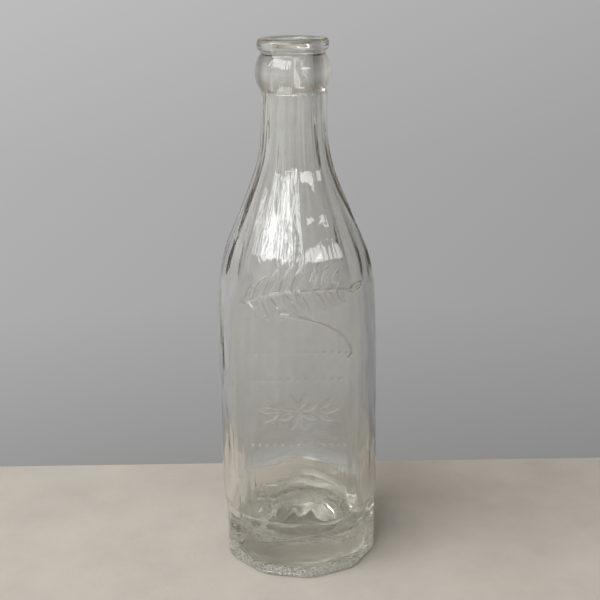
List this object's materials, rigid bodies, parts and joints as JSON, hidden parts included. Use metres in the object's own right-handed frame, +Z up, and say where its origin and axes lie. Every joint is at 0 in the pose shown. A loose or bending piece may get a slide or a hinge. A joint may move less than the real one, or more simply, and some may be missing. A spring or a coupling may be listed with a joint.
{
  "type": "crown-cap glass bottle",
  "caption": "Empty clear glass bottle with a crown-cap finish, a rounded collar, a panelled neck and shoulder, a round body and a heavy faceted foot.",
  "frame": {"origin": "middle of the foot's underside, on the surface that the bottle stands on", "axes": "+Z up along the bottle's axis, front towards -Y, where one ridge of the shoulder and one corner of the foot face"},
  "size_m": [0.0628, 0.0628, 0.2055],
  "materials": {
    "clear_glass": "gloss"
  },
  "bodies": {
    "root": {"lip": "clear_glass", "collar": "clear_glass", "neck": "clear_glass", "shoulder": "clear_glass", "body": "clear_glass", "base": "clear_glass"}
  },
  "joints": []
}
